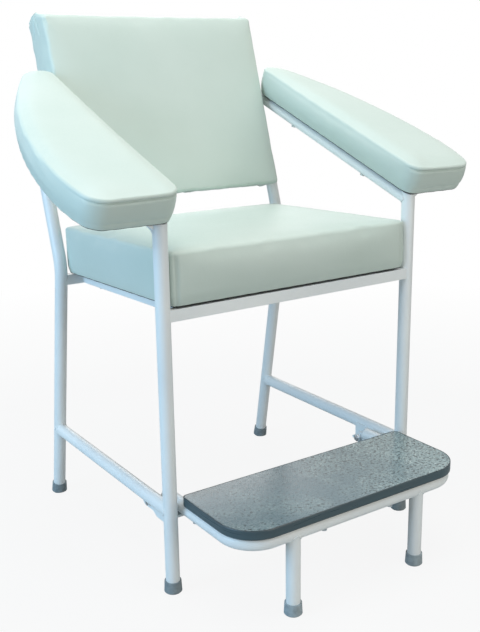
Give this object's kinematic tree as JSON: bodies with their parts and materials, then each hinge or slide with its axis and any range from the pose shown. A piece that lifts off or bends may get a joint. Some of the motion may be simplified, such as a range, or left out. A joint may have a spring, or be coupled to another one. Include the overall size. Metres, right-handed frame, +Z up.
{
  "type": "phlebotomy chair",
  "caption": "Blood-draw chair: padded seat and raked back on a welded round-tube frame, broad arm pads that slope to the front, and a fold-back footrest.",
  "frame": {"origin": "on the floor, in the middle of the outline", "axes": "+Z up; the sitter faces -Y, so the back is at +Y; +X is the sitter's left"},
  "size_m": [0.836, 0.7406, 0.9946],
  "materials": {
    "board": "matte",
    "frame_coat": "satin",
    "vinyl": "satin",
    "plated_steel": "polished",
    "plywood": "matte",
    "rubber": "matte",
    "edging_plastic": "satin",
    "cap_plastic": "satin",
    "tread_rubber": "satin",
    "nylon": "satin"
  },
  "bodies": {
    "chair": {"arm_board_left": "board", "arm_board_right": "board", "arm_gusset_left": "frame_coat", "arm_gusset_right": "frame_coat", "arm_pad_left": "vinyl", "arm_pad_right": "vinyl", "arm_rail_left": "frame_coat", "arm_rail_right": "frame_coat", "arm_screws": "plated_steel", "back_bar_lower": "frame_coat", "back_bar_upper": "frame_coat", "back_board": "board", "back_cushion": "vinyl", "back_screws": "plated_steel", "footrest_buffers": "rubber", "front_ferrules": "rubber", "front_leg_left": "frame_coat", "front_leg_right": "frame_coat", "hinge_bolts": "plated_steel", "hinge_bracket_left": "frame_coat", "hinge_bracket_right": "frame_coat", "hinge_bushes": "nylon", "hinge_nuts": "plated_steel", "lower_side_rail_left": "frame_coat", "lower_side_rail_right": "frame_coat", "post_caps": "cap_plastic", "rear_ferrules": "rubber", "rear_leg_left": "frame_coat", "rear_leg_right": "frame_coat", "seat_board": "board", "seat_cushion": "vinyl", "seat_front_rail": "frame_coat", "seat_rear_rail": "frame_coat", "seat_screws": "plated_steel", "seat_side_rail_left": "frame_coat", "seat_side_rail_right": "frame_coat"},
    "footrest": {"footrest_board": "plywood", "footrest_edging": "edging_plastic", "footrest_ferrules": "rubber", "footrest_leg_left": "frame_coat", "footrest_leg_right": "frame_coat", "footrest_lug_left": "frame_coat", "footrest_lug_right": "frame_coat", "footrest_plugs": "cap_plastic", "footrest_screws": "plated_steel", "footrest_tread": "tread_rubber", "footrest_tube": "frame_coat"}
  },
  "joints": [
    {"name": "footrest_fold", "type": "hinge", "parent": "chair", "child": "footrest", "pos_m": [0, -0.08031, 0.132], "axis": [-1, 0, 0], "range_deg": [0, 180]}
  ]
}
